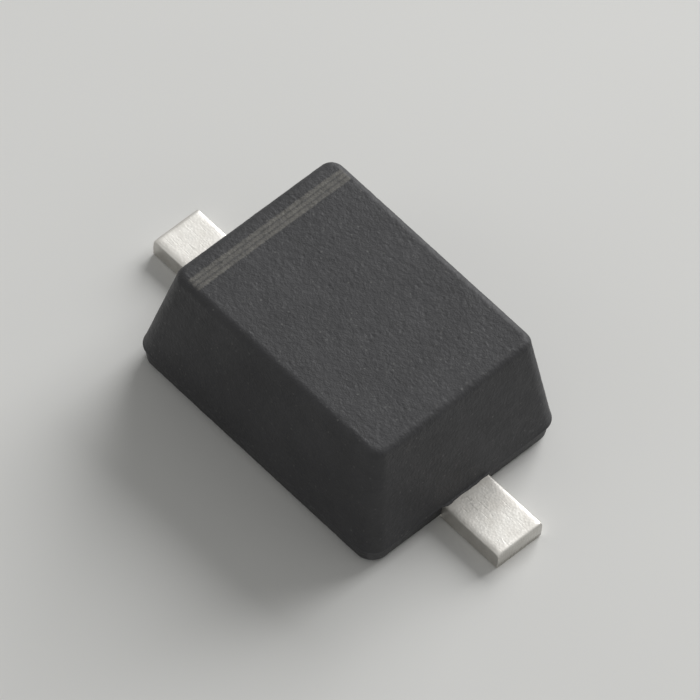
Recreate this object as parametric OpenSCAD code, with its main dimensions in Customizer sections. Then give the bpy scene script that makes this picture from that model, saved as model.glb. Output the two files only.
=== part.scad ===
// Zener diode in a moulded package with two flat leads.
// The origin is the centre of the package, on the plane that its two feet rest on.
// +X runs from the cathode to the anode and +Z is up. All sizes are in millimetres.

/* [Package] */
// Length over the tips of the two leads
overall_l = 2.50; // [2.30:0.01:3.10]
// Length of the body at the parting line
body_l = 1.72; // [1.60:0.01:2.10]
// Width of the body at the parting line
body_w = 1.28; // [1.05:0.01:1.60]
// Height of the body above the parting line
crown_h = 0.65; // [0.55:0.01:0.85]
// Gap between the underside of the body and the plane of the feet
standoff = 0.02; // [0.01:0.005:0.05]

/* [Moulding] */
// Draft of the two end walls above the parting line, in degrees
end_draft = 11; // [3:0.5:14]
// Draft of the two side walls above the parting line, in degrees
side_draft = 8.5; // [3:0.5:14]
// Draft of all four walls below the parting line, in degrees
base_draft = 5; // [1:0.5:10]
// Radius of the upright corners at the parting line
corner_r = 0.10; // [0.05:0.01:0.15]
// Radius of the upright corners where they meet the top edge
top_corner_r = 0.08; // [0.07:0.01:0.15]
// Radius of the edges round the top face
edge_r = 0.05; // [0.02:0.005:0.06]
// Radius of the edges round the underside
base_edge_r = 0.012; // [0.006:0.002:0.020]
// Amount by which the lower half of the mould is smaller, on each side
mould_step = 0.006; // [0.002:0.001:0.020]
// Diameter of the ejector mark under the body
ejector_d = 0.50; // [0.20:0.01:0.70]
// Depth of the ejector mark
ejector_depth = 0.010; // [0.002:0.001:0.020]
// Width of the broken gate on the far side wall
gate_w = 0.32; // [0.10:0.01:0.60]
// Height of the broken gate
gate_h = 0.07; // [0.02:0.01:0.12]
// How far the broken gate stands out of the wall
gate_out = 0.006; // [0.002:0.001:0.020]

/* [Lead frame] */
// Thickness of the lead frame's sheet
lead_t = 0.12; // [0.08:0.01:0.15]
// Width of a lead where it leaves the body
lead_w = 0.30; // [0.20:0.01:0.33]
// Length of the flat foot that lies inside the body
buried_l = 0.14; // [0.10:0.01:0.20]
// Height that the sheet climbs inside the body
climb_h = 0.24; // [0.18:0.01:0.30]
// Slope of the climb, in degrees
climb_angle = 60; // [45:1:75]
// Inside radius of the two bends of a climb
bend_r = 0.05; // [0.03:0.01:0.06]
// Width of the paddle that carries the chip
paddle_w = 0.56; // [0.48:0.01:0.80]
// Length of the post that takes the end of the wire
post_l = 0.25; // [0.18:0.01:0.30]
// Width of the post
post_w = 0.50; // [0.48:0.01:0.80]
// Gap between the paddle and the post
frame_gap = 0.15; // [0.10:0.01:0.20]
// Radius of the free corners of the paddle and the post
blank_r = 0.04; // [0.020:0.005:0.045]
// Radius of the notches that lock a lead into the moulding
lock_r = 0.045; // [0.02:0.005:0.06]
// Radius to which the shear rolls the upper edge of a tip
roll_r = 0.016; // [0.008:0.002:0.030]
// Height up to which a sheared tip breaks away
break_h = 0.05; // [0.02:0.005:0.07]
// How far it breaks away at its foot
break_in = 0.005; // [0.002:0.001:0.010]

/* [Chip] */
// Length of each side of the square chip
die_l = 0.30; // [0.24:0.01:0.38]
// Thickness of the chip
die_t = 0.12; // [0.08:0.01:0.15]
// Width of the ledge that the first, wider saw cut leaves round the chip
saw_step = 0.008; // [0.004:0.001:0.012]
// Depth of that cut below the top of the chip
saw_depth = 0.05; // [0.03:0.005:0.06]
// Thickness of the layer that fixes the chip to the paddle
attach_t = 0.015; // [0.005:0.005:0.030]
// How far that layer spreads past each side of the chip
attach_spread = 0.02; // [0.010:0.005:0.025]
// Thickness of that layer at its outer edge
attach_lip = 0.004; // [0.002:0.001:0.005]
// Height to which it creeps up the sides of the chip
creep_h = 0.04; // [0.01:0.005:0.06]
// Thickness of the layer at the top of its creep
creep_t = 0.002; // [0.001:0.001:0.004]
// Diameter of the metal contact on top of the chip
pad_d = 0.20; // [0.12:0.01:0.24]
// Thickness of that contact
pad_t = 0.005; // [0.003:0.001:0.010]

/* [Bond wire] */
// Diameter of the wire
wire_d = 0.025; // [0.018:0.001:0.040]
// Diameter of the flattened ball on the contact
ball_d = 0.075; // [0.06:0.005:0.10]
// Height of the flattened ball
ball_h = 0.018; // [0.012:0.001:0.025]
// Height of the cone that the bonding tool leaves on the ball
cone_h = 0.018; // [0.010:0.002:0.024]
// How far that cone stands out of the wire at its foot
cone_out = 0.010; // [0.004:0.001:0.012]
// Length of the upright neck above the ball
neck_l = 0.05; // [0.03:0.01:0.08]
// Radius of the loop where the wire turns over
loop_r = 0.05; // [0.03:0.01:0.08]
// Radius of the curve with which the wire comes down on the post
landing_r = 0.12; // [0.06:0.01:0.20]
// Distance from the end of the post to the start of the stitch
stitch_in = 0.09; // [0.06:0.01:0.12]
// Length over which the stitch is pressed flat
stitch_l = 0.05; // [0.03:0.01:0.06]
// Width of the stitch at its end
stitch_w = 0.06; // [0.04:0.005:0.08]
// Thickness of the stitch at its end
stitch_t = 0.008; // [0.004:0.001:0.012]

/* [Hidden] */
$fn = 48;
corner_steps = 6;
edge_steps = 5;
bend_steps = 6;
wire_sides = 12;
arc_steps = 8;

// The parting line lies level with the upper side of the leads.
parting_z = lead_t;
base_h = parting_z - standoff;

// A climb is two equal and opposite bends with a straight slope between them.
bend_mid_r = bend_r + lead_t / 2;
slope_l = (climb_h - 2 * bend_mid_r * (1 - cos(climb_angle))) / sin(climb_angle);
climb_l = 2 * bend_mid_r * sin(climb_angle) + slope_l * cos(climb_angle);

// Distances from the tip of a lead inward.
foot_l = (overall_l - body_l) / 2 + buried_l;
flat_start = foot_l + climb_l;

// The paddle and the post share the length between the tops of the two climbs.
paddle_l = overall_l - 2 * flat_start - frame_gap - post_l;
shelf_z = climb_h + lead_t;

// The chip sits in the middle of the paddle.
die_x = flat_start + paddle_l / 2 - overall_l / 2;
die_z = shelf_z + attach_t;
pad_z = die_z + die_t;
ball_z = pad_z + pad_t;

// Centres of the two curves of the wire, and the slope of the straight run that touches both.
post_end_x = overall_l / 2 - flat_start - post_l;
loop_x = die_x + loop_r;
loop_z = ball_z + ball_h + neck_l;
landing_x = post_end_x + stitch_in;
landing_z = shelf_z + wire_d / 2 + landing_r;
centre_drop = atan2(loop_z - landing_z, landing_x - loop_x);
centre_gap = norm([landing_x - loop_x, loop_z - landing_z]);
wire_drop = centre_drop + asin((loop_r + landing_r) / centre_gap);

// Points of an arc from one angle to another.
function arc(centre, r, from_angle, to_angle, steps) = [
    for (i = [0:steps])
        let (a = from_angle + (to_angle - from_angle) * i / steps)
        centre + r * [cos(a), sin(a)]
];

// An outline given by its upper half, from left to right, is closed by the same points below.
function both_sides(half) = concat(
    half,
    [for (i = [len(half) - 1:-1:0]) [half[i][0], -half[i][1]]]
);

// Solid through a list of rings that all have the same number of points.
module loft(rings) {
    count = len(rings);
    sides = len(rings[0]);
    near_cap = [for (j = [0:sides - 1]) sides - 1 - j];
    far_cap = [for (j = [0:sides - 1]) (count - 1) * sides + j];
    walls = [
        for (k = [0:count - 2])
            for (j = [0:sides - 1])
                let (near = k * sides, far = near + sides, next = (j + 1) % sides)
                [near + j, near + next, far + next, far + j]
    ];
    polyhedron(points = [for (ring = rings) each ring], faces = concat([near_cap, far_cap], walls));
}

// How far a wall of this height and draft has come in at a distance from the parting line.
// It is straight up to where it touches its rounded edge of radius r, and follows that edge.
function wall_inset(draft, wall_h, r, h) =
    let (rise = wall_h - r)
    h <= rise + r * sin(draft)
        ? h * tan(draft)
        : (r + rise * sin(draft)) / cos(draft) - sqrt(max(0, r ^ 2 - (h - rise) ^ 2));

// Radius of the upright corners there. It goes from corner_r to end_r, and shrinks at the edge.
function corner_at(end_r, wall_h, r, h) =
    let (rise = wall_h - r, over = max(0, h - rise))
    corner_r + (end_r - corner_r) * min(h, rise) / rise - r + sqrt(max(0, r ^ 2 - over ^ 2));

// Distances from the parting line at which a wall with a rounded edge takes its sections.
function edge_heights(wall_h, r) = [
    for (i = [0:edge_steps]) wall_h - r + r * sin(90 * i / edge_steps)
];

// Level section: a rectangle with round corners.
function round_ring(z, half_l, half_w, r) = [
    for (quarter = [3:-1:0])
        let (
            sx = quarter == 0 || quarter == 3 ? 1 : -1,
            sy = quarter < 2 ? 1 : -1,
            centre = [sx * (half_l - r), sy * (half_w - r)]
        )
        for (p = arc(centre, r, 90 * (quarter + 1), 90 * quarter, corner_steps))
            [p[0], p[1], z]
];

// Section of the lower half of the body, at a depth below the parting line.
function base_ring(h) =
    let (inset = mould_step + wall_inset(base_draft, base_h, base_edge_r, h))
    round_ring(
        parting_z - h,
        body_l / 2 - inset,
        body_w / 2 - inset,
        corner_at(corner_r, base_h, base_edge_r, h)
    );

// Section of the upper half, at a height above the parting line.
function crown_ring(h) = round_ring(
    parting_z + h,
    body_l / 2 - wall_inset(end_draft, crown_h, edge_r, h),
    body_w / 2 - wall_inset(side_draft, crown_h, edge_r, h),
    corner_at(top_corner_r, crown_h, edge_r, h)
);

// Both halves of the moulding, with the step between them at the parting line.
module moulding() {
    base_heights = edge_heights(base_h, base_edge_r);
    loft(concat(
        [for (i = [edge_steps:-1:0]) base_ring(base_heights[i])],
        [base_ring(0), crown_ring(0)],
        [for (h = edge_heights(crown_h, edge_r)) crown_ring(h)]
    ));
}

// What is left where the gate broke off, on the far side wall just above the parting line.
module gate_stub() {
    outer_y = body_w / 2 - gate_h * tan(side_draft) + gate_out;
    translate([-gate_w / 2, outer_y - corner_r, parting_z])
        cube([gate_w, corner_r, gate_h]);
}

module ejector_mark() {
    translate([0, 0, standoff - ejector_depth])
        cylinder(d = ejector_d, h = 2 * ejector_depth);
}

// Side view of a lead with its tip at 0: sheared tip, flat foot, climb and raised flat end.
function side_outline(flat_l) =
    let (
        outer_r = bend_r + lead_t,
        lower = [foot_l, outer_r],
        upper = [flat_start, climb_h - bend_r],
        end_x = flat_start + flat_l
    )
    concat(
        [[0, break_h], [break_in, 0]],
        arc(lower, outer_r, -90, climb_angle - 90, bend_steps),
        arc(upper, bend_r, climb_angle + 90, 90, bend_steps),
        [[end_x, climb_h], [end_x, shelf_z]],
        arc(upper, outer_r, 90, climb_angle + 90, bend_steps),
        arc(lower, bend_r, climb_angle - 90, -90, bend_steps),
        arc([roll_r, lead_t - roll_r], roll_r, 90, 180, bend_steps)
    );

// Half the flat blank of a lead seen from above. Its shoulder lies midway along the climb,
// and a notch in its edge at the top of the climb holds it in the moulding.
function blank_half(wide_l, wide_w) =
    let (shoulder_x = flat_start - climb_l / 2)
    concat(
        [[0, lead_w / 2]],
        arc([shoulder_x - blank_r, lead_w / 2 + blank_r], blank_r, -90, 0, bend_steps),
        arc([shoulder_x + blank_r, wide_w / 2 - blank_r], blank_r, 180, 90, bend_steps),
        arc([flat_start, wide_w / 2], lock_r, 180, 360, 2 * bend_steps),
        arc([flat_start + wide_l - blank_r, wide_w / 2 - blank_r], blank_r, 90, 0, bend_steps)
    );

// A lead with its tip at the origin, running along +X.
module bent_lead(wide_l, wide_w) {
    intersection() {
        translate([0, wide_w, 0])
            rotate([90, 0, 0])
                linear_extrude(height = 2 * wide_w) polygon(side_outline(wide_l));
        linear_extrude(height = 2 * shelf_z, center = true)
            polygon(both_sides(blank_half(wide_l, wide_w)));
    }
}

module cathode_shape() {
    translate([-overall_l / 2, 0, 0]) bent_lead(paddle_l, paddle_w);
}

module anode_shape() {
    mirror([1, 0, 0])
        translate([-overall_l / 2, 0, 0]) bent_lead(post_l, post_w);
}

// The chip: a square block whose upper part is narrower by the ledge of the first saw cut.
module die_shape() {
    upper_l = die_l - 2 * saw_step;
    translate([die_x - die_l / 2, -die_l / 2, die_z])
        cube([die_l, die_l, die_t - saw_depth]);
    translate([die_x - upper_l / 2, -upper_l / 2, die_z])
        cube([upper_l, upper_l, die_t]);
}

// Section of the layer under the chip, at a distance outside the chip's sides.
function attach_ring(z, out) = round_ring(z, die_l / 2 + out, die_l / 2 + out, out);

// Outer shape of that layer. Its edge is a thin lip, and from there it creeps up the chip's sides
// in a hollow curve, at most up to the ledge.
module attach_outside() {
    creep_top = attach_t + min(creep_h, die_t - saw_depth);
    translate([die_x, 0, shelf_z])
        loft(concat(
            [attach_ring(0, attach_spread)],
            [
                for (i = [0:edge_steps])
                    let (a = 90 * i / edge_steps)
                    attach_ring(
                        creep_top - (creep_top - attach_lip) * cos(a),
                        attach_spread - (attach_spread - creep_t) * sin(a)
                    )
            ]
        ));
}

module attach_shape() {
    difference() {
        attach_outside();
        die_shape();
    }
}

module pad_shape() {
    translate([die_x, 0, pad_z]) cylinder(d = pad_d, h = pad_t);
}

// Section of the wire at [x, z]: an oval whose upper side points along up_angle.
function wire_ring(x, z, up_angle, half_t, half_w) = [
    for (j = [0:wire_sides - 1])
        let (a = 360 * (j + 0.5) / wire_sides, up = half_t * cos(a) / cos(180 / wire_sides))
        [x + up * cos(up_angle), half_w * sin(a), z + up * sin(up_angle)]
];

// Sections along a curve of the wire. A negative r bends it the other way.
function wire_curve(x, z, r, from_angle, to_angle) = [
    for (i = [0:arc_steps])
        let (a = from_angle + (to_angle - from_angle) * i / arc_steps)
        wire_ring(x + r * cos(a), z + r * sin(a), a, wire_d / 2, wire_d / 2)
];

// Neck, loop, straight run, landing curve, and the stitch that is pressed flat on the post.
module wire_run() {
    loft(concat(
        [wire_ring(die_x, ball_z + ball_h / 2, 180, wire_d / 2, wire_d / 2)],
        wire_curve(loop_x, loop_z, loop_r, 180, 90 - wire_drop),
        wire_curve(landing_x, landing_z, -landing_r, 90 - wire_drop, 90),
        [wire_ring(landing_x + stitch_l, shelf_z + stitch_t / 2, 90, stitch_t / 2, stitch_w / 2)]
    ));
}

// The wire with the flattened ball that starts it, and the cone on top of the ball.
module wire_shape() {
    flat_r = (ball_d - ball_h) / 2;
    cone_r = min(wire_d / 2 + cone_out, flat_r);
    translate([die_x, 0, ball_z])
        rotate_extrude() {
            square([flat_r, ball_h]);
            translate([flat_r, ball_h / 2])
                intersection() {
                    circle(d = ball_h);
                    translate([0, -ball_h]) square(2 * ball_h);
                }
            translate([0, ball_h / 2])
                polygon([
                    [0, 0],
                    [cone_r, 0],
                    [cone_r, ball_h / 2],
                    [0.4 * wire_d, ball_h / 2 + cone_h],
                    [0, ball_h / 2 + cone_h]
                ]);
        }
    wire_run();
}

module molded_body() {
    color("#26272a")
        difference() {
            union() {
                moulding();
                gate_stub();
            }
            ejector_mark();
            cathode_shape();
            anode_shape();
            attach_outside();
            die_shape();
            pad_shape();
            wire_shape();
        }
}

module cathode_lead() {
    color("#c9c6bd") cathode_shape();
}

module anode_lead() {
    color("#c9c6bd") anode_shape();
}

module die_attach() {
    color("#9aa0a3") attach_shape();
}

module zener_die() {
    color("#50555f") die_shape();
}

module bond_pad() {
    color("#d4d6d8") pad_shape();
}

module bond_wire() {
    color("#d9ae4a") wire_shape();
}

molded_body();
cathode_lead();
anode_lead();
die_attach();
zener_die();
bond_pad();
bond_wire();
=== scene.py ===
# %% [markdown]
# # A small zener diode
#
# The real object is a surface-mount diode, 2.5 mm long. A silicon chip sits on one of two sheet-metal leads,
# a gold wire joins it to the other, and black epoxy is moulded round them all. The frame holds these pieces
# at their true sizes. This script gives each its small forms and its finish, and takes its places from the
# frame, so that nothing has to be fitted afterwards.

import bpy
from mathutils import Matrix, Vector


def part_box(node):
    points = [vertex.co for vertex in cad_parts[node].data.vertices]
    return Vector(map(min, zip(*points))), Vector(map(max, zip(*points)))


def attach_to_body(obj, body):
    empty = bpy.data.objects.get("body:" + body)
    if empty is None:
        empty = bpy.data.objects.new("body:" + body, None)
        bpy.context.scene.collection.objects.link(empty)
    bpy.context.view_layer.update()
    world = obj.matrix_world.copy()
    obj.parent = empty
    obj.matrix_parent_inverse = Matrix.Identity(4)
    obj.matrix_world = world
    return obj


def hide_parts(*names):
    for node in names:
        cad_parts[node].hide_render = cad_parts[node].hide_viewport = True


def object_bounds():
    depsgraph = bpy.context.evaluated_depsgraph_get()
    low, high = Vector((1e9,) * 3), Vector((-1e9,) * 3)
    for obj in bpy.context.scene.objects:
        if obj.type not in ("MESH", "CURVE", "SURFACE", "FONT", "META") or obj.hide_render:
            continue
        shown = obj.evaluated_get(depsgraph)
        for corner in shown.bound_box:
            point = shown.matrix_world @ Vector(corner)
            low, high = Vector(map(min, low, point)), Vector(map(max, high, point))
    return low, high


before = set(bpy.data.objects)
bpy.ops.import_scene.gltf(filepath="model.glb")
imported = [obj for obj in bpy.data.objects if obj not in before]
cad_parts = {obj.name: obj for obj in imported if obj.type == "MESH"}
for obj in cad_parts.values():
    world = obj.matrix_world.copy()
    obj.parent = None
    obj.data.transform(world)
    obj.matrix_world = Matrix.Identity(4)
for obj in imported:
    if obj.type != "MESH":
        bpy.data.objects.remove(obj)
cad_low, cad_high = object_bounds()
print("CAD box in metres:", [round(x, 6) for x in (*cad_low, *cad_high)])

# %% [markdown]
# ## Camera
#
# The photograph looks down at the diode by 55 degrees, across the near corner of its anode end, and from so
# far off that parallel edges stay parallel. An orthographic camera would do that too, but a very long lens
# keeps the trace of perspective that a real one has. The picture leans a little, which is a roll of the
# camera about its own axis.

# %% Place the camera
import math

import bpy
import numpy as np
from mathutils import Matrix, Vector, noise

MM = 0.001  # metres in a millimetre
AZIMUTH, ELEVATION, ROLL = math.radians(42.4), math.radians(55.4), math.radians(5.5)
VIEW_WIDTH = 3.45 * MM
LENS = 700  # focal length in millimetres. So long a lens sees nearly parallel rays

scene = bpy.context.scene
scene.view_settings.view_transform = "Standard"
right = Vector((math.cos(AZIMUTH), math.sin(AZIMUTH), 0))
back = Vector((
    math.sin(AZIMUTH) * math.cos(ELEVATION),
    -math.cos(AZIMUTH) * math.cos(ELEVATION),
    math.sin(ELEVATION),
))
up = back.cross(right)
camera = bpy.data.objects.new("camera", bpy.data.cameras.new("camera"))
camera.data.lens = LENS
distance = VIEW_WIDTH * LENS / camera.data.sensor_width
camera.data.clip_start, camera.data.clip_end = distance / 100, distance * 100
axes = Matrix((
    math.cos(ROLL) * right + math.sin(ROLL) * up,
    math.cos(ROLL) * up - math.sin(ROLL) * right,
    back,
)).transposed()
middle = (cad_low + cad_high) / 2
camera.matrix_world = Matrix.Translation(middle + back * distance) @ axes.to_4x4()
scene.collection.objects.link(camera)
scene.camera = camera
print("camera stands off by", round(distance / MM, 1), "mm")

# %% [markdown]
# ## Sizes
#
# Everything below is drawn in millimetres and brought to metres at the very end, because Blender's tools
# merge and cut more safely at sizes near 1 than near a thousandth. Sizes that a CAD node's box gives are
# read from it. The few that no box gives are repeated by name where they are first needed.

# %% Read the sizes from the frame


def box_mm(node):
    """Lowest and highest corner of a CAD node, in millimetres."""
    return [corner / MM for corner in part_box(node)]


body_low, body_high = box_mm("molded_body")
cathode_high = box_mm("cathode_lead")[1]
anode_low, anode_high = box_mm("anode_lead")
attach_low, attach_high = box_mm("die_attach")
die_low, die_high = box_mm("zener_die")
pad_low, pad_high = box_mm("bond_pad")
wire_high = box_mm("bond_wire")[1]

LEAD_T, LEAD_W = 0.12, 0.30  # the lead frame's sheet, and a lead's width outside the body
parting_z = LEAD_T  # the mould closes on the upper side of the leads
tip_x = anode_high.x
shelf_z = cathode_high.z
die_x = (die_low.x + die_high.x) / 2
print("tips at", round(tip_x, 4), "body ends at", round(body_high.x, 4), "chip at", round(die_x, 4))

# %% [markdown]
# ## Colours and nodes
#
# Colours are written as sRGB hex values, as on a paint chart, and one function turns them to the linear
# numbers that light needs. One more function adds a node with its settings and its links, and gives back
# the output that is in use. A node's inputs come in their own order, or by name where that says more.

# %% Paint and nodes


def paint(code):
    """Linear RGBA of an sRGB hex colour."""
    parts = [int(code[i : i + 2], 16) / 255 for i in (1, 3, 5)]
    return [p / 12.92 if p <= 0.04045 else ((p + 0.055) / 1.055) ** 2.4 for p in parts] + [1]


def add(tree, kind, inputs=(), **settings):
    """Adds a node. Each input is a value or another node's output, in order or in a dict by name."""
    node = tree.nodes.new(kind)
    for name, value in settings.items():
        setattr(node, name, value)
    sockets = [socket for socket in node.inputs if socket.enabled]
    if isinstance(inputs, dict):
        names = [socket.name for socket in sockets]
        sockets = [sockets[names.index(name)] for name in inputs]
        inputs = inputs.values()
    for socket, value in zip(sockets, inputs):
        if isinstance(value, bpy.types.NodeSocket):
            tree.links.new(value, socket)
        else:
            socket.default_value = value
    return next((socket for socket in node.outputs if socket.enabled), None)


print("black is", paint("#000000")[:3], "and white is", paint("#ffffff")[:3])

# %% [markdown]
# ## Nodes that come back
#
# Every pattern below is made of the same few nodes, so each of them gets a short function here.
#
# Blender's noise may give any value from 0 to 1, but it rarely leaves the middle of that range. So most of
# the patterns stretch the middle to the whole, or they would hardly show.

# %% Numbers and colours
MIDDLE = (0.3, 0.7)  # the range that noise rarely leaves


def maths(tree, operation, *values):
    """A sum, a product or the like of one to three numbers."""
    return add(tree, "ShaderNodeMath", values, operation=operation)


def split(tree, vector):
    """The X, Y and Z of a vector."""
    return add(tree, "ShaderNodeSeparateXYZ", (vector,)).node.outputs


def remap(tree, value, *ends, clamp=True):
    """Brings one range to another and holds it at the ends. Each is 0 to 1 where it isn't given."""
    return add(tree, "ShaderNodeMapRange", (value, *ends), clamp=clamp)


def blend(tree, share, first, second):
    """A colour between two others. Each is a hex colour or another node's output."""
    colours = [paint(colour) if isinstance(colour, str) else colour for colour in (first, second)]
    return add(tree, "ShaderNodeMix", (share, *colours), data_type="RGBA")


def vary(tree, pattern, first, second):
    """A colour that goes from one to the other over the range that noise rarely leaves."""
    return blend(tree, remap(tree, pattern, *MIDDLE), first, second)


print("patterns are stretched from", MIDDLE, "to 0 and 1")

# %% Noise, cells and lines


def noise_at(tree, place, size, **inputs):
    """Noise with lumps of about that size, in millimetres."""
    return add(tree, "ShaderNodeTexNoise", {"Vector": place, "Scale": 1 / size, **inputs})


def cells_at(tree, place, size):
    """Cells about that far apart. Gives the distance from a cell's middle, and its random colour."""
    return add(tree, "ShaderNodeTexVoronoi", {"Vector": place, "Scale": 1 / size}).node.outputs


def lines_at(tree, place, detail=2, **mapping):
    """Noise drawn out to lines. The mapping's Scale says how many lie in a millimetre each way."""
    drawn = add(tree, "ShaderNodeMapping", {"Vector": place, **mapping})
    return noise_at(tree, drawn, 1, Detail=detail)


print("patterns to lay: noise, cells and lines, sized in millimetres")

# %% [markdown]
# ## What every material starts from
#
# A material here is the standard shader with its fixed values, and patterns that are linked to its colour,
# roughness and normal. Every pattern is laid on the object's own place, in millimetres, so that its scale is
# a real size and it stays where it is from any side.

# %% Start and end of a material


def new_material(name, **values):
    """A material whose shader has these fixed values. Gives (material, tree, place in mm)."""
    material = bpy.data.materials.new(name)
    material.use_nodes = True
    tree = material.node_tree
    for socket, value in values.items():
        tree.nodes["Principled BSDF"].inputs[socket].default_value = value
    metres = tree.nodes.new("ShaderNodeTexCoord").outputs["Object"]
    place = add(tree, "ShaderNodeVectorMath", {"Vector": metres, "Scale": 1 / MM}, operation="SCALE")
    return material, tree, place


def lay_on(material, colour, rough, height, depth):
    """Links a pattern to the shader. Its bumps are depth millimetres high where height runs from 0 to 1."""
    tree = material.node_tree
    bump = add(tree, "ShaderNodeBump", {"Strength": 1.0, "Distance": depth * MM, "Height": height})
    for socket, output in (("Base Color", colour), ("Roughness", rough), ("Normal", bump)):
        tree.links.new(output, tree.nodes["Principled BSDF"].inputs[socket])
    print(material.name, "has", len(tree.nodes), "nodes")


print("patterns are laid at", round(1 / MM), "units a metre")

# %% [markdown]
# ## Finish: moulded epoxy
#
# The body is black epoxy moulding compound, transfer moulded in a spark-eroded steel mould. It is carbon
# black and a little resin round a great many grains of fused silica. To the eye that gives a dark neutral
# grey which is never quite even, a dull sheen broken by the fine pitted grain of the mould, and a few pale
# specks where a grain of silica lies at the surface. Sparks leave shallow craters of many sizes one over
# another, so the grain is mostly noise, with single deeper craters in it. One function lays this ground,
# because the burned band and the broken gate start from it too.

# %% Moulded epoxy
FLOW = 0.26  # size of the patches in which the resin's colour changes
SPECK = 0.028  # spacing of the coarser silica grains, which are 0.01 mm across
GRAIN = 0.020  # width of the mould's finer craters
CRATER = 0.034  # spacing of its deeper ones
SHEEN = 0.05  # size of the duller and glossier patches
EPOXY_DEPTH = 0.0022  # height of the grain
ASKEW = (0.6, 0.4, 0.9)  # a turn that keeps rows of cells from lining up with the faces


def lay_epoxy(name):
    """The ground of moulded epoxy. Gives the material's parts with its colour, roughness and height."""
    material, tree, place = new_material(name, **{"Specular IOR Level": 0.36})
    ground = vary(tree, noise_at(tree, place, FLOW, Detail=3), "#2f2f31", "#39393b")
    askew = add(tree, "ShaderNodeMapping", {"Vector": place, "Rotation": ASKEW})
    silica = cells_at(tree, askew, SPECK)
    at_surface = remap(tree, silica["Color"], 0.55, 0.9)
    speck = maths(tree, "MULTIPLY", remap(tree, silica["Distance"], 0.10, 0.26, 1, 0), at_surface)
    colour = blend(tree, speck, ground, "#575756")
    rough = remap(tree, noise_at(tree, place, SHEEN, Detail=4, Roughness=0.6), *MIDDLE, 0.48, 0.64)
    grain = remap(tree, noise_at(tree, place, GRAIN, Detail=4, Roughness=0.62), 0.25, 0.75)
    craters = cells_at(tree, askew, CRATER)
    bowl = remap(tree, craters["Distance"], 0.05, 0.40, -0.7, 0)
    bowl = maths(tree, "MULTIPLY", bowl, craters["Color"])
    height = maths(tree, "ADD", grain, bowl)
    return material, tree, place, colour, rough, height


epoxy, tree, place, colour, rough, height = lay_epoxy("epoxy_spark_eroded_mould")
lay_on(epoxy, colour, rough, height, EPOXY_DEPTH)

# %% [markdown]
# ## Finish: the burned cathode band
#
# The cathode end carries a pale band. A laser burned it in three passes side by side, each a shallow groove
# where the resin is gone and the silica shows as a rough, dusty grey. It can't be a clean stripe of paint:
# the passes show as three lines, their edges are ragged, and the dust is uneven along them. In the photograph
# the band is only a shade paler than the top, so the dust is kept thin.

# %% Burned epoxy: where the passes run
BAND_X, BAND_W, BAND_L, PASSES = -0.608, 0.084, 1.03, 3  # its middle, width and length, and the passes
PASS_W = BAND_W / PASSES
WAVE, WAVER = 0.016, 0.006  # length of the waves in a pass, and how far they carry it to the side
band_start = BAND_X - BAND_W / 2

burned, tree, place, colour, rough, height = lay_epoxy("epoxy_laser_burned")
x, y = split(tree, place)[:2]
ragged = remap(tree, noise_at(tree, place, WAVE, Detail=3), 0.2, 0.8, -WAVER, WAVER)
across = maths(tree, "ADD", x, ragged)
across = remap(tree, across, band_start, band_start + BAND_W, 0, PASSES, clamp=False)
in_pass = maths(tree, "FRACT", across)
off_line = maths(tree, "ABSOLUTE", maths(tree, "SUBTRACT", in_pass, 0.5))
line = remap(tree, off_line, 0.22, 0.48, 1.0, 0.35)
print("band from", round(band_start, 3), "to", round(band_start + BAND_W, 3), "in", PASSES, "passes")

# %% Burned epoxy: dust in the passes
DUST, CRUMB = 0.03, 0.009  # size of the patches of dust, and of its grains

off_middle = maths(tree, "ABSOLUTE", maths(tree, "SUBTRACT", across, PASSES / 2))
within = remap(tree, off_middle, PASSES / 2 - 0.10, PASSES / 2 + 0.05, 1, 0)
end = maths(tree, "ADD", maths(tree, "ABSOLUTE", y), ragged)
end = remap(tree, end, BAND_L / 2 - 0.010, BAND_L / 2 + 0.005, 1, 0)
dust = remap(tree, noise_at(tree, place, DUST, Detail=4, Roughness=0.7), 0.30, 0.62, 0.30, 0.78)
for share in (line, within, end):
    dust = maths(tree, "MULTIPLY", dust, share)
colour = blend(tree, dust, colour, "#7d7b76")
rough = add(tree, "ShaderNodeMix", (dust, rough, 0.9))
crumbs = maths(tree, "MULTIPLY", noise_at(tree, place, CRUMB, Detail=2), dust)
height = maths(tree, "ADD", height, crumbs)
lay_on(burned, colour, rough, height, 1.2 * EPOXY_DEPTH)

# %% [markdown]
# ## Finish: the broken gate
#
# The resin entered the mould through a gate in the middle of one long wall, and was snapped off there. A
# break goes round the silica grains and not through them, so the patch is rough, dull and a little paler
# than the moulded skin, with a ragged edge.

# %% Broken gate
GATE_W, GATE_H = 0.32, 0.07  # along the wall, and up from the parting line
TEAR, TEAR_OUT = 0.025, 0.006  # length of the waves in its edge, and how far they reach
GRIT = 0.011  # size of the grains that the break goes round

snapped, tree, place, colour, rough, height = lay_epoxy("epoxy_snapped_off")
x, y, z = split(tree, place)
ragged = remap(tree, noise_at(tree, place, TEAR, Detail=3), 0.25, 0.75, -TEAR_OUT, TEAR_OUT)
up = maths(tree, "SUBTRACT", z, parting_z + GATE_H / 2)
broken = remap(tree, noise_at(tree, place, GRIT, Detail=4, Roughness=0.65), 0.30, 0.65, 0.25, 0.80)
for coordinate, half in ((x, GATE_W / 2), (up, GATE_H / 2)):
    off = maths(tree, "ADD", maths(tree, "ABSOLUTE", coordinate), ragged)
    off = remap(tree, off, half - TEAR_OUT, half, 1, 0)
    broken = maths(tree, "MULTIPLY", broken, off)
colour = blend(tree, broken, colour, "#6b6b6d")
rough = add(tree, "ShaderNodeMix", (broken, rough, 0.85))
height = maths(tree, "MULTIPLY_ADD", broken, 3.0, height)
lay_on(snapped, colour, rough, height, EPOXY_DEPTH)

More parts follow.
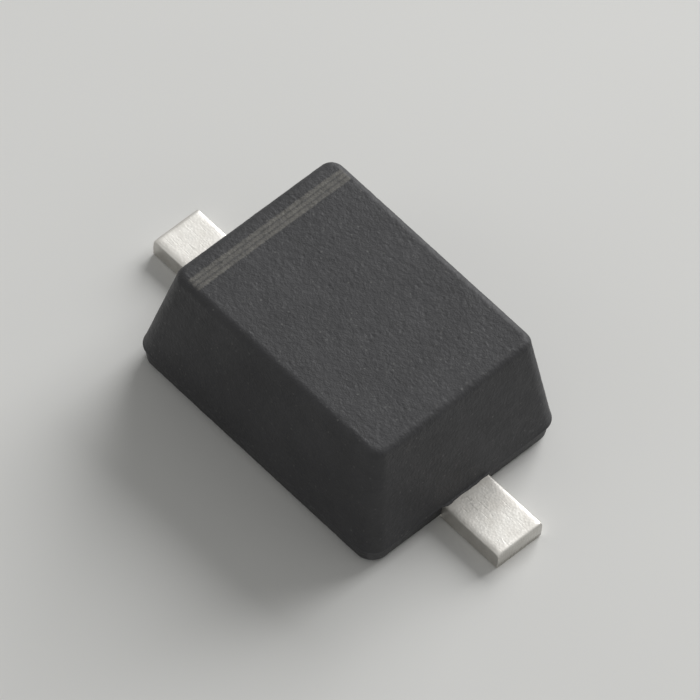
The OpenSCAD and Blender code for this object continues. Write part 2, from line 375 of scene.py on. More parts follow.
# %% [markdown]
# ## Finish: matte tin
#
# The leads are plated with matte tin, a hundredth of a millimetre thick. Matte tin is a bright, slightly warm
# metal whose crystals, a few thousandths across, scatter its reflections to a soft satin. The crystals are
# drawn coarser than they are, or they would vanish. Handling leaves faint rubs along the lead, and beside the
# body the plating is dulled where thin resin was blasted away.

# %% Matte tin
CRYSTAL = 0.014  # real crystals are 0.002 to 0.005
TINT, SATIN, WAVES = 0.09, 0.045, 0.03  # sizes of the patches in its colour, its sheen and its height
RUBBED = {"Rotation": (0, 0, math.radians(12)), "Scale": (9, 120, 40)}  # 120 fine strokes to a millimetre
STAIN, STAIN_L = 0.03, 0.05  # size of the waves in the dull zone's edge, and how far the zone reaches
TIN_DEPTH = 0.0004  # height of the plating's bumps


def lay_tin(name):
    """The ground of matte tin. Gives the material's parts with its colour, roughness and height."""
    material, tree, place = new_material(name, Metallic=1.0)
    colour = vary(tree, noise_at(tree, place, TINT, Detail=3), "#d2d0cc", "#c4c1bc")
    crystals = cells_at(tree, place, CRYSTAL)
    facet = remap(tree, crystals["Color"], 0.0, 1.0, 0.0, 0.22)
    colour = blend(tree, facet, colour, "#aba9a4")
    rubs = remap(tree, lines_at(tree, place, **RUBBED), 0.60, 0.70)
    rough = remap(tree, noise_at(tree, place, SATIN, Detail=3), *MIDDLE, 0.40, 0.50)
    rough = maths(tree, "MULTIPLY_ADD", rubs, -0.10, rough)
    waves = noise_at(tree, place, WAVES)
    height = maths(tree, "ADD", crystals["Distance"], waves)
    height = maths(tree, "MULTIPLY_ADD", rubs, -0.5, height)
    return material, tree, place, colour, rough, height


tin, tree, place, colour, rough, height = lay_tin("tin_matte_plated")
x = split(tree, place)["X"]
uneven = remap(tree, noise_at(tree, place, STAIN, Detail=3), 0, 1, -STAIN, STAIN)
from_middle = maths(tree, "ADD", maths(tree, "ABSOLUTE", x), uneven)
stain = remap(tree, from_middle, body_high.x, body_high.x + STAIN_L, 0.5, 0.0)
colour = blend(tree, stain, colour, "#8f8c86")
rough = maths(tree, "MULTIPLY_ADD", stain, 0.25, rough)
lay_on(tin, colour, rough, height, TIN_DEPTH)

# %% [markdown]
# ## Finish: the sheared tip
#
# The tip was sheared after plating. The punch smears tin down over most of the cut, and near its foot the
# bare nickel-iron sheet shows, a little duller, torn and striped by the punch. It starts from the same tin,
# because the smear is tin, and the edge between them is drawn out by the same stripes.

# %% Nickel-iron at the cut
STRIPED = (1, 110, 5)  # 110 stripes to a millimetre across the cut, drawn out down it
SMEAR_LOW, SMEAR_HIGH = 0.020, 0.034  # heights between which the smeared tin ends
DRAWN = 0.014  # how far a stripe draws that end up or down
TORN, TORN_DEPTH = 0.012, 0.0014  # size and height of the lumps in the torn metal

sheared, tree, place, colour, rough, height = lay_tin("nickel_iron_sheared")
z = split(tree, place)["Z"]
stripes = lines_at(tree, place, detail=3, Scale=STRIPED)
lift = remap(tree, stripes, 0.2, 0.8, -DRAWN, DRAWN)
smear = remap(tree, maths(tree, "ADD", z, lift), SMEAR_LOW, SMEAR_HIGH)
bare = vary(tree, stripes, "#a3a09b", "#bdbab5")
colour = blend(tree, smear, bare, colour)
rough = remap(tree, smear, 0, 1, 0.50, 0.38)
torn = noise_at(tree, place, TORN, Detail=3)
height = maths(tree, "MULTIPLY_ADD", torn, 0.8, stripes)
lay_on(sheared, colour, rough, height, TORN_DEPTH)

# %% [markdown]
# ## Finish: the chip
#
# The chip is silicon: a dark, mirror-like crystal with a thin oxide on top that tints it blue. Its sides were
# sawn, which leaves them grey and dull with level lines from the blade. None of the pieces inside shows
# through the body, but each is finished, because the part is kept as separate pieces.

# %% Silicon
SAWN = (12, 12, 260)  # 260 level lines to a millimetre
SAWN_DEPTH = 0.0012  # height of those lines
OXIDE = 0.08  # size of the patches in the oxide's tint

silicon, tree, place = new_material("silicon_sawn_and_oxidised", IOR=3.9)
z = split(tree, place)["Z"]
on_top = remap(tree, z, die_high.z - 0.002, die_high.z - 0.001)
saw = lines_at(tree, place, detail=3, Scale=SAWN)
sawn = vary(tree, saw, "#2f3137", "#494c53")
oxide = vary(tree, noise_at(tree, place, OXIDE), "#1f2c4a", "#2b3a58")
colour = blend(tree, on_top, sawn, oxide)
rough = remap(tree, on_top, 0, 1, 0.50, 0.16)
depth = remap(tree, on_top, 0, 1, 1.0, 0.05)
height = maths(tree, "MULTIPLY", saw, depth)
lay_on(silicon, colour, rough, height, SAWN_DEPTH)

# %% [markdown]
# ## Finish: silver adhesive, aluminium and gold
#
# The chip is held by silver-filled epoxy, which looks like a grey paste full of flakes. Its round contact is
# a film of aluminium with a fine grain, scraped where a test needle stood. The wire is soft drawn gold with
# faint lines along it. Each is one or two patterns on a metal.

# %% Silver-filled epoxy
FLAKE, FLAKE_DEPTH = 0.009, 0.0012  # size and height of the silver flakes

adhesive, tree, place = new_material("silver_filled_epoxy", Metallic=0.75)
flakes = cells_at(tree, place, FLAKE)
pale = remap(tree, flakes["Color"], 0.2, 0.9)
paste = blend(tree, pale, "#8f8e8a", "#c9c7c1")
rough = remap(tree, flakes["Color"], 0.0, 1.0, 0.62, 0.38)
lay_on(adhesive, paste, rough, flakes["Distance"], FLAKE_DEPTH)

# %% Aluminium film
FILM_GRAIN = 0.005  # real grains are 0.001 to 0.003
SCRAPED = {"Rotation": (0, 0, math.radians(35)), "Scale": (30, 240, 1)}  # 240 fine strokes to a millimetre
SCRAPE_DEPTH = 0.0003  # depth of those strokes

aluminium, tree, place = new_material("aluminium_sputtered_film", Metallic=1.0)
grains = cells_at(tree, place, FILM_GRAIN)
film = blend(tree, grains["Color"], "#d9dadb", "#c4c7ca")
scrape = remap(tree, lines_at(tree, place, **SCRAPED), 0.66, 0.74)
rough = remap(tree, scrape, 0, 1, 0.30, 0.45)
height = maths(tree, "SUBTRACT", grains["Distance"], scrape)
lay_on(aluminium, film, rough, height, SCRAPE_DEPTH)

# %% Gold wire
DRAWN_LINES = (12, 420, 12)  # 420 lines to a millimetre across the wire
LINE_DEPTH = 0.0003  # depth of those lines

gold, tree, place = new_material("gold_drawn_wire", Metallic=1.0)
lines = lines_at(tree, place, Scale=DRAWN_LINES)
worn = remap(tree, lines, *MIDDLE)
golden = blend(tree, worn, "#e8bd5c", "#d9a741")
rough = remap(tree, worn, 0, 1, 0.20, 0.32)
lay_on(gold, golden, rough, lines, LINE_DEPTH)

# %% [markdown]
# ## Rings
#
# The body, the leads, the chip and the layers under and over it are all stacks of one outline: a rectangle
# with round corners that grows and shrinks along a path. A cube with a bevel would give rough shapes of
# them, but no draft that changes from wall to wall and no notch in a lead. So one function draws the ring,
# with points where the caller wants them.

# %% Ring


def side(half_a, half_b, radius, shares, steps):
    """One side of the ring, from the middle of a corner to the middle of the next: (along, outward)."""
    turn = np.radians(45) * np.arange(steps, 0, -1) / steps
    arc_a = half_a - radius + radius * np.sin(turn)
    arc_b = half_b - radius + radius * np.cos(turn)
    straight = (half_a - radius) * (2 * np.asarray(shares) - 1)
    along = np.concatenate((-arc_a, straight, arc_a[::-1]))
    outward = np.concatenate((arc_b, np.full(len(straight), half_b), arc_b[::-1]))
    return along, outward


def ring(half_x, half_y, radius, shares_x, shares_y, steps):
    """Anticlockwise outline of a rectangle with round corners. shares place the points of its sides."""
    xa, xb = side(half_x, half_y, radius, shares_x, steps)
    ya, yb = side(half_y, half_x, radius, shares_y, steps)
    sides = ((xa, -xb), (yb, ya), (xa[::-1], xb[::-1]), (-yb[::-1], ya[::-1]))
    return np.concatenate([np.stack(points, 1)[:-1] for points in sides])


def shares(count):
    """Evenly spaced points on a side."""
    return np.linspace(0, 1, count + 1)


# A corner radius this close to the half width makes a circle, and leaves the ring's sides a little length.
ROUND = 0.999
print("a ring with two steps a side has", len(ring(1, 1, 0.2, shares(2), shares(2), 3)), "points")

# %% [markdown]
# ## Lofts
#
# A second function stretches a skin over a stack of rings and closes both ends with a grid. The grid matters:
# a fan of thin triangles there would shade badly and leave no points for fine relief. It is a Coons patch,
# which bends with all four sides of the ring.

# %% Grid over an end


def share_along(line):
    """For each point of a line, how much of its length lies before it, from 0 to 1."""
    steps = np.linalg.norm(np.diff(line, axis=0), axis=1)
    return np.concatenate(([0], np.cumsum(steps))) / steps.sum()


def filled(outline, nx, ny):
    """Grid of points inside a ring whose sides have nx and ny steps."""
    bottom, far = outline[: nx + 1], outline[nx : nx + ny + 1]
    top = outline[nx + ny : 2 * nx + ny + 1][::-1]
    near = np.concatenate((outline[2 * nx + ny :], outline[:1]))[::-1]
    u, v = share_along(bottom)[:, None, None], share_along(near)[None, :, None]
    sides = (1 - v) * bottom[:, None] + v * top[:, None] + (1 - u) * near[None] + u * far[None]
    lower = (1 - u) * bottom[0] + u * bottom[-1]
    upper = (1 - u) * top[0] + u * top[-1]
    return (sides - (1 - v) * lower - v * upper)[1:-1, 1:-1]


def grid_faces(start, inner, nx, ny, count):
    """Faces of that grid. start is the ring's first point, and inner the first point inside it."""
    index = np.empty((nx + 1, ny + 1), int)
    index[:, 0] = start + np.arange(nx + 1)
    index[-1, :] = start + nx + np.arange(ny + 1)
    index[::-1, -1] = start + nx + ny + np.arange(nx + 1)
    index[0, ::-1] = start + (2 * nx + ny + np.arange(ny + 1)) % count
    index[1:-1, 1:-1] = inner + np.arange((nx - 1) * (ny - 1)).reshape(nx - 1, ny - 1)
    return np.stack((index[:-1, :-1], index[1:, :-1], index[1:, 1:], index[:-1, 1:]), -1).reshape(-1, 4)


print("a grid of 3 by 2 steps has", len(grid_faces(0, 10, 3, 2, 10)), "faces")

# %% Loft and piece


def loft(rings, nx, ny):
    """Points and faces of a closed skin over a stack of rings, with a grid over each end."""
    rings = np.asarray(rings, float)
    levels, count = len(rings), 2 * (nx + ny)
    near, far = (filled(r, nx, ny).reshape(-1, 3) for r in (rings[0], rings[-1]))
    points = np.concatenate((rings.reshape(-1, 3), near, far))
    start = np.arange(levels - 1)[:, None] * count
    here, ahead = start + np.arange(count), start + (np.arange(count) + 1) % count
    wall = np.stack((here, ahead, ahead + count, here + count), -1).reshape(-1, 4)
    near_end = grid_faces(0, levels * count, nx, ny, count)[:, ::-1]
    far_end = grid_faces((levels - 1) * count, levels * count + len(near), nx, ny, count)
    return points, np.concatenate((wall, near_end, far_end))


def new_piece(name, points, faces, *materials, edges=()):
    """An object at the origin with these points, faces and loose edges, and a slot for each material."""
    mesh = bpy.data.meshes.new(name)
    mesh.from_pydata(np.asarray(points).tolist(), edges, np.asarray(faces).tolist())
    for material in materials:
        mesh.materials.append(material)
    piece = bpy.data.objects.new(name, mesh)
    scene.collection.objects.link(piece)
    return piece


box_points = [(x, y, z) for z in (0, 1) for x, y in ((0, 0), (1, 0), (1, 1), (0, 1))]
print("a loft of two squares has", len(loft(np.reshape(box_points, (2, 4, 3)), 1, 1)[1]), "faces")

# %% [markdown]
# ## Relief by Geometry Nodes
#
# Plated tin and a spark-eroded mould are not flat at the scale of a hundredth of a millimetre, and bumps in
# a shader can't break up an outline or an edge. A small tree of Geometry Nodes pushes each point inward along
# its normal by a noise. It only goes inward, so the piece stays inside its size, and an attribute called
# give says how far each point may move. One tree serves every piece, with its own depth, grain and seed.

# %% Start and end of a tree


def new_tree(name, **inputs):
    """A Geometry Nodes tree with a geometry input and output, and these named inputs."""
    tree = bpy.data.node_groups.new(name, "GeometryNodeTree")
    tree.interface.new_socket("Geometry", in_out="INPUT", socket_type="NodeSocketGeometry")
    for label, kind in inputs.items():
        tree.interface.new_socket(label, in_out="INPUT", socket_type="NodeSocket" + kind)
    tree.interface.new_socket("Geometry", in_out="OUTPUT", socket_type="NodeSocketGeometry")
    return tree, tree.nodes.new("NodeGroupInput").outputs


def end_tree(tree, geometry, material):
    """Ends a tree: real geometry, one material, and the output."""
    real = add(tree, "GeometryNodeRealizeInstances", {"Geometry": geometry})
    painted = add(tree, "GeometryNodeSetMaterial", {"Geometry": real, "Material": material})
    tree.links.new(painted, tree.nodes.new("NodeGroupOutput").inputs["Geometry"])
    print(tree.name, "has", len(tree.nodes), "nodes")


def stored(tree, label):
    """The number that store() left at each point."""
    return add(tree, "GeometryNodeInputNamedAttribute", {"Name": label})


print("node trees so far:", len(bpy.data.node_groups))

# %% Use of a tree on a piece


def store(piece, label, values):
    """Stores a number at each point of a piece, for a tree to read."""
    attribute = piece.data.attributes.new(label, "FLOAT", "POINT")
    attribute.data.foreach_set("value", np.asarray(values, np.float32))


def settle(piece):
    """Keeps what a piece's modifiers make of it as its plain mesh."""
    evaluated = piece.evaluated_get(bpy.context.evaluated_depsgraph_get())
    made = bpy.data.meshes.new_from_object(evaluated)
    piece.modifiers.clear()
    piece.data = made


def grow(piece, tree, **inputs):
    """Runs a tree on a piece, with these inputs."""
    modifier = piece.modifiers.new(tree.name, "NODES")
    modifier.node_group = tree
    for label, value in inputs.items():
        modifier[tree.interface.items_tree[label].identifier] = value
    settle(piece)
    print(piece.name, "after", tree.name + ":", len(piece.data.polygons), "faces")


# %% Tree that roughens a surface
roughen, given = new_tree("roughen", Depth="Float", Grain="Float", Seed="Float", Material="Material")
scale = maths(roughen, "DIVIDE", 1.0, given["Grain"])
lumps = add(roughen, "ShaderNodeTexNoise", {"W": given["Seed"], "Scale": scale}, noise_dimensions="4D")
inward = maths(roughen, "MULTIPLY", lumps, stored(roughen, "give"))
for factor in (given["Depth"], -1.0):
    inward = maths(roughen, "MULTIPLY", inward, factor)
normal = add(roughen, "GeometryNodeInputNormal")
offset = add(roughen, "ShaderNodeVectorMath", {"Vector": normal, "Scale": inward}, operation="SCALE")
moved = add(roughen, "GeometryNodeSetPosition", {"Geometry": given["Geometry"], "Offset": offset})
end_tree(roughen, moved, given["Material"])

# %% [markdown]
# ## The two leads
#
# Each lead is one strip of sheet 0.12 mm thick. It was stamped, with shoulders and two notches that lock it
# in the moulding, then bent up by a climb between two bends, and its tip was sheared off last. A solid cut
# from a block would lose the signs of that work, so the lead is lofted: a rounded section runs along the
# middle of the sheet and takes its width from the stamped outline.

# %% Outline of a lead
CLIMB_ANGLE, BEND_R = math.radians(60), 0.05
BURIED_L = 0.14  # length of flat foot inside the body
BLANK_R, LOCK_R = 0.04, 0.045  # free corners of the blank, and the notches that lock it
ROLL_STEPS = (0, 0.002, 0.005, 0.009)  # closer points where the sheared tip rolls over
climb_h = shelf_z - LEAD_T
mid_r = BEND_R + LEAD_T / 2
slope_h = climb_h - 2 * mid_r * (1 - math.cos(CLIMB_ANGLE))
climb_l = 2 * mid_r * math.sin(CLIMB_ANGLE) + slope_h / math.tan(CLIMB_ANGLE)
foot_l = tip_x - body_high.x + BURIED_L
flat_start = foot_l + climb_l


def arc(x, y, radius, start, end, steps=6):
    """Points of an arc from one angle to another, in degrees."""
    turn = np.radians(np.linspace(start, end, steps + 1))
    return np.stack((x + radius * np.cos(turn), y + radius * np.sin(turn)), 1)


def blank(wide_l, wide_w):
    """Half the stamped outline from above, from the tip inward: (distance from the tip, half width)."""
    shoulder = flat_start - climb_l / 2
    half = LEAD_W / 2
    return np.concatenate((
        [(x, half) for x in ROLL_STEPS],
        arc(shoulder - BLANK_R, half + BLANK_R, BLANK_R, -90, 0),
        arc(shoulder + BLANK_R, wide_w / 2 - BLANK_R, BLANK_R, 180, 90),
        arc(flat_start, wide_w / 2, LOCK_R, 180, 360, 12),
        arc(flat_start + wide_l - BLANK_R, wide_w / 2 - BLANK_R, BLANK_R, 90, 0),
    ))


print("foot", round(foot_l, 4), "climb", round(climb_l, 4), "flat from", round(flat_start, 4))

# %% Middle of the sheet


def middle_of_sheet(x):
    """Height and slope of the middle of the sheet at a distance from the tip."""
    reach = mid_r * math.sin(CLIMB_ANGLE)
    if x <= foot_l:
        return LEAD_T / 2, 0.0
    if x <= foot_l + reach:
        turn = math.asin((x - foot_l) / mid_r)
        return LEAD_T / 2 + mid_r * (1 - math.cos(turn)), turn
    if x >= flat_start:
        return climb_h + LEAD_T / 2, 0.0
    if x >= flat_start - reach:
        turn = math.asin((flat_start - x) / mid_r)
        return climb_h + LEAD_T / 2 - mid_r * (1 - math.cos(turn)), turn
    bent = mid_r * (1 - math.cos(CLIMB_ANGLE))
    return LEAD_T / 2 + bent + (x - foot_l - reach) * math.tan(CLIMB_ANGLE), CLIMB_ANGLE


print("halfway up the climb the sheet is at", round(middle_of_sheet(foot_l + climb_l / 2)[0], 4))

# %% [markdown]
# ## What the punch leaves on a lead
#
# The punch pulls the sheet's upper edges down with it, so they roll over a little along the sides and more
# at the tip. Plating rounds the edges that are left. The sheared tip is smooth above, and below it breaks
# away and leans back, with a torn surface. These marks go straight on the sections of the loft.

# %% Section and tip of a lead
PLATED_R = 0.010  # how far plating rounds the sheet's long edges
SIDE_DROP = 0.005  # how far a stamped side rolls over
ROLL_R = 0.016  # rolled edge of the sheared tip
BREAK_H, BREAK_IN = 0.05, 0.005  # height of the broken part of the tip, and how far it leans back
TORN_LUMPS = 60  # lumps to a millimetre in the broken part
TIP_L = 0.05  # length of sheet that takes part in it
ACROSS, THROUGH, EDGE_STEPS = 24, 9, 3


def lead_section(x, half_w):
    """Section of the sheet at a distance from the tip, as points in the lead's own frame."""
    section = ring(half_w, LEAD_T / 2, PLATED_R, shares(ACROSS), shares(THROUGH), EDGE_STEPS)
    across, through = section.T
    tip_drop = ROLL_R - math.sqrt(ROLL_R**2 - max(0, ROLL_R - x) ** 2)
    side_drop = SIDE_DROP * np.exp((np.abs(across) - half_w) / (2 * SIDE_DROP))
    through = through - (tip_drop + side_drop) * (through / LEAD_T + 0.5)
    height, slope = middle_of_sheet(x)
    return np.stack((x - math.sin(slope) * through, across, height + math.cos(slope) * through), 1)


def broken_away(points, seed):
    """How far each point near the tip lies back, because the lower part of the cut broke away."""
    low = np.clip(1 - points[:, 2] / BREAK_H, 0, 1)
    near = np.clip(1 - points[:, 0] / TIP_L, 0, 1)
    torn = [noise.noise((y * TORN_LUMPS, z * TORN_LUMPS, seed)) for x, y, z in points]
    return BREAK_IN * low * near * (1 + 0.5 * np.array(torn))


print("a section has", len(lead_section(0.1, LEAD_W / 2)), "points")

# %% Loft of a lead
STEP = 0.0125  # spacing of points where the leads and the body show
LEAD_DEPTH, LEAD_GRAIN = 0.0009, 0.06  # relief of the plated sheet
FADE_OUT, FADE_UP = 0.01, 0.02  # over how much length it starts outside the body, and above the floor
SQUARE_TO_CUT = 0.7  # a face that turns toward the tip by more than this belongs to the cut


def refined(line, step):
    """The same line with points added, so that none is more than a step from the last along x."""
    parts = [line[:1]]
    for a, b in zip(line[:-1], line[1:]):
        count = max(1, math.ceil((b[0] - a[0]) / step - 1e-6))
        parts.append(a + (b - a) * (np.arange(1, count + 1) / count)[:, None])
    return np.concatenate(parts)


def make_lead(name, sign, wide_l, wide_w, seed):
    """A lead that starts at the tip on the side of sign. It is drawn along x and then set in place."""
    line = refined(blank(wide_l, wide_w), STEP)
    rings = [lead_section(x, half_w) for x, half_w in line]
    points, faces = loft(rings, ACROSS + 2 * EDGE_STEPS, THROUGH + 2 * EDGE_STEPS)
    outside = np.clip((tip_x - body_high.x - points[:, 0]) / FADE_OUT, 0, 1)
    off_floor = np.clip((points[:, 2] - PLATED_R) / FADE_UP, 0, 1)
    points[:, 0] += broken_away(points, seed)
    points[:, 0] = sign * (tip_x - points[:, 0])
    lead = new_piece(name, points, faces if sign < 0 else faces[:, ::-1])
    store(lead, "give", outside * off_floor)
    grow(lead, roughen, Depth=LEAD_DEPTH, Grain=LEAD_GRAIN, Seed=float(seed), Material=tin)
    lead.data.materials.append(sheared)
    for face in lead.data.polygons:
        if abs(face.normal.x) > SQUARE_TO_CUT and abs(face.center.x) > tip_x - TIP_L:
            face.material_index = 1
    return lead


cathode = make_lead("tinned_cathode_lead", -1, cathode_high.x + tip_x - flat_start, cathode_high.y * 2, 1)
anode = make_lead("tinned_anode_lead", 1, tip_x - anode_low.x - flat_start, anode_high.y * 2, 2)

# %% [markdown]
# ## The chip, its seat and its contact
#
# The chip was sawn from its wafer in two passes, a wide cut and then a narrow one, which leaves a ledge round
# its walls. It sits in silver-filled epoxy that thins to a lip at its edge and creeps up the chip in a hollow
# curve. The contact on top is a round film of metal with a soft edge. All three are lofts of the same ring.

# %% Chip and contact
SAW_STEP, SAW_DEPTH = 0.008, 0.05  # width of the ledge, and its depth below the top
CHIPPED_R = 0.004  # wear of the chip's corners
SLOPE_H, BEVEL = 0.002, 0.001  # height over which the ledge steps in, and the chip's worn upper edge
PAD_EDGE = ((0.003, 0), (0.001, 0.001), (0, 0.003))  # soft edge of the contact: below the top, and inward


def stack(name, middle_x, levels, count, steps, *materials):
    """A loft of level rings about an upright axis. levels are (height, half width, corner radius)."""
    rings = []
    for z, half, radius in levels:
        x, y = ring(half, half, radius, shares(count), shares(count), steps).T
        rings.append(np.column_stack((x + middle_x, y, np.full(len(x), z))))
    piece = new_piece(name, *loft(rings, count + 2 * steps, count + 2 * steps), *materials)
    print(name, len(piece.data.polygons), "faces")
    return piece


die_half = (die_high.x - die_low.x) / 2
upper_half = die_half - SAW_STEP
ledge_z = die_high.z - SAW_DEPTH
die_levels = [(z, die_half, CHIPPED_R) for z in np.linspace(die_low.z, ledge_z - SLOPE_H, 7)]
die_levels += [(z, upper_half, CHIPPED_R) for z in np.linspace(ledge_z, die_high.z - BEVEL, 6)]
die_levels.append((die_high.z, upper_half - BEVEL, CHIPPED_R - BEVEL))
chip = stack("silicon_chip", die_x, die_levels, 24, 2, silicon)

pad_r = (pad_high.x - pad_low.x) / 2
pad_rims = [(pad_low.z, pad_r)]
pad_rims += [(pad_high.z - below, pad_r - inward) for below, inward in PAD_EDGE]
contact = stack("aluminium_contact", die_x, [(z, r, ROUND * r) for z, r in pad_rims], 1, 12, aluminium)

# %% Adhesive
LIP, CREEP_T = 0.004, 0.002  # thickness of the layer at its edge, and at the top of its creep
spread = (attach_high.x - attach_low.x) / 2 - die_half
creep_h = attach_high.z - attach_low.z - LIP
attach_levels = [(attach_low.z, die_half + spread, spread)]
for turn in np.radians(np.linspace(0, 90, 9)):
    out = spread - (spread - CREEP_T) * math.sin(turn)
    attach_levels.append((attach_high.z - creep_h * math.cos(turn), die_half + out, out))
attach = stack("silver_adhesive", die_x, attach_levels, 20, 3, adhesive)

# %% [markdown]
# ## The bond wire
#
# The wire is 0.025 mm of gold. A bonding tool melts a ball at its end, presses the ball on the contact, draws
# the wire up and over in a loop, lays it down on the post and squeezes its end flat. That is one path with a
# section that changes along it, which is what Geometry Nodes do well: the path is a chain of points that
# carry their radius and how far they are pressed, and the tree sweeps a circle along them.

# %% Path of the wire
WIRE_D, BALL_D, BALL_H = 0.025, 0.075, 0.018  # the wire, and its ball's width and height
NECK_L, LOOP_R, LANDING_R = 0.05, 0.05, 0.12  # straight rise over the ball, and the radii of the two curves
STITCH_L, STITCH_W, STITCH_T = 0.05, 0.06, 0.008  # the flattened end
CONE = ((0.0015, 0.0100), (0.005, 0.0050), (0.011, 0.0012), (0.018, 0.0))  # height, flare above the ball
loop_x, loop_z = die_x + LOOP_R, pad_high.z + BALL_H + NECK_L
landing_x, landing_z = wire_high.x - STITCH_L, shelf_z + WIRE_D / 2 + LANDING_R
run, drop = landing_x - loop_x, loop_z - landing_z
slope = math.atan2(drop, run) + math.asin((LOOP_R + LANDING_R) / math.hypot(run, drop))
turn_off = 90 - math.degrees(slope)

ball = arc(pad_high.z + BALL_H / 2, (BALL_D - BALL_H) / 2, BALL_H / 2, 180, 0, 12)
cone = [(pad_high.z + BALL_H + rise, WIRE_D / 2 + flare) for rise, flare in CONE]
path = [(die_x, z, radius, 1, 1) for z, radius in (*ball, *cone)]
path += [(x, z, WIRE_D / 2, 1, 1) for x, z in arc(loop_x, loop_z, LOOP_R, 180, turn_off, 20)]
path += [(x, z, WIRE_D / 2, 1, 1) for x, z in arc(landing_x, landing_z, -LANDING_R, turn_off, 90, 16)]
for step in np.linspace(0, 1, 9)[1:]:
    ease = step * step * (3 - 2 * step)
    wider, flatter = 1 + ease * (STITCH_W / WIRE_D - 1), 1 + ease * (STITCH_T / WIRE_D - 1)
    path.append((landing_x + step * STITCH_L, shelf_z + WIRE_D / 2, WIRE_D / 2, wider, flatter))
path = np.array(path)
print("wire path has", len(path), "points and rises to", round(path[:, 1].max() + WIRE_D / 2, 4))

# %% Tree that sweeps the wire
SWEPT = ("radius", "wider", "flatter")  # what each point of the path carries
sweep, given = new_tree("sweep_wire", Sides="Int", Shelf="Float", Material="Material")
curve = add(sweep, "GeometryNodeMeshToCurve", {"Mesh": given["Geometry"]})
circle = add(sweep, "GeometryNodeCurvePrimitiveCircle", {"Resolution": given["Sides"], "Radius": 1.0})
radius, wider, flatter = (stored(sweep, label) for label in SWEPT)
tube = {"Curve": curve, "Profile Curve": circle, "Scale": radius, "Fill Caps": True}
tube = add(sweep, "GeometryNodeCurveToMesh", tube)
x, y, z = split(sweep, add(sweep, "GeometryNodeInputPosition"))
y = maths(sweep, "MULTIPLY", y, wider)
z = maths(sweep, "SUBTRACT", z, given["Shelf"])
z = maths(sweep, "MULTIPLY_ADD", z, flatter, given["Shelf"])
pressed = add(sweep, "ShaderNodeCombineXYZ", (x, y, z))
tube = add(sweep, "GeometryNodeSetPosition", {"Geometry": tube, "Position": pressed})
end_tree(sweep, tube, given["Material"])

# %% Sweep the wire
edges = [(i, i + 1) for i in range(len(path) - 1)]
wire = new_piece("gold_wire", [(x, 0, z) for x, z in path[:, :2]], [], edges=edges)
for column, label in enumerate(SWEPT, start=2):
    store(wire, label, path[:, column])
grow(wire, sweep, Sides=24, Shelf=shelf_z, Material=gold)

# %% [markdown]
# ## The moulded body
#
# The body is a block with a parting line level with the top of the leads. Above it the walls lean in by 11
# degrees at the ends and 8.5 at the sides and run into a rounded top edge. Below it they lean the other way
# and start a hair further in, because the two halves of a mould never meet exactly. It is lofted from level
# rings, close enough together to carry the relief.

# %% Draft and rounded edges
END_DRAFT, SIDE_DRAFT, BASE_DRAFT = math.radians(11), math.radians(8.5), math.radians(5)
CORNER_R, TOP_CORNER_R = 0.10, 0.08  # upright corners, at the parting line and at the top
EDGE_R, BASE_EDGE_R = 0.05, 0.012  # edges round the top face, and round the underside
MOULD_STEP = 0.006  # how much further in the lower half starts
crown_h = body_high.z - parting_z
base_h = parting_z - body_low.z


def wall_inset(draft, wall_h, edge_r, h):
    """How far a drafted wall with a rounded end has come in, at a distance from the parting line."""
    straight = wall_h - edge_r
    if h <= straight + edge_r * math.sin(draft):
        return h * math.tan(draft)
    edge = math.sqrt(max(0, edge_r**2 - (h - straight) ** 2))
    return (edge_r + straight * math.sin(draft)) / math.cos(draft) - edge


def corner_at(end_r, wall_h, edge_r, h):
    """Radius of the upright corners there. It goes from CORNER_R to end_r and shrinks at the edge."""
    straight = wall_h - edge_r
    wall = CORNER_R + (end_r - CORNER_R) * min(h, straight) / straight
    return wall - edge_r + math.sqrt(max(0, edge_r**2 - max(0, h - straight) ** 2))


top_half_x = body_high.x - wall_inset(END_DRAFT, crown_h, EDGE_R, crown_h)
top_half_y = body_high.y - wall_inset(SIDE_DRAFT, crown_h, EDGE_R, crown_h)
print("flat of the top:", round(2 * top_half_x, 3), "by", round(2 * top_half_y, 3), "mm")

# %% Columns of points round the body
BAND_STEP = 0.005  # spacing of points across the band
CORNER_STEPS = 6
top_corner = corner_at(TOP_CORNER_R, crown_h, EDGE_R, crown_h)
straight_x, straight_y = top_half_x - top_corner, top_half_y - top_corner
stops = [-straight_x, band_start, band_start + BAND_W, straight_x]
gaps = [STEP, BAND_STEP, STEP]
columns = [np.linspace(a, b, round((b - a) / gap) + 1)[1:] for a, b, gap in zip(stops, stops[1:], gaps)]
shares_x = (np.concatenate(([-straight_x], *columns)) + straight_x) / (2 * straight_x)
shares_y = shares(round(2 * straight_y / STEP))


def body_ring(z, inset_x, inset_y, radius):
    """Level ring of the body, that far inside its widest outline."""
    half_x, half_y = body_high.x - inset_x, body_high.y - inset_y
    x, y = ring(half_x, half_y, radius, shares_x, shares_y, CORNER_STEPS).T
    return np.column_stack((x, y, np.full(len(x), z)))


print("each ring has", len(body_ring(0, 0, 0, CORNER_R)), "points")

# %% Rings of the body
FILM_T = 0.004  # thickness of the resin that squeezed out over a lead
BASE_WALL_H = 0.08  # height of the lower wall that has evenly spaced rings
edge_turns = np.radians(np.linspace(0, 90, 11))
base_edge = base_h - BASE_EDGE_R + BASE_EDGE_R * np.sin(edge_turns[::-2])
base_rings = []
for depth in (*base_edge, *np.linspace(BASE_WALL_H, 0, 7)):
    inset = MOULD_STEP + wall_inset(BASE_DRAFT, base_h, BASE_EDGE_R, depth)
    corner = corner_at(CORNER_R, base_h, BASE_EDGE_R, depth)
    base_rings.append(body_ring(parting_z - depth, inset, inset, corner))

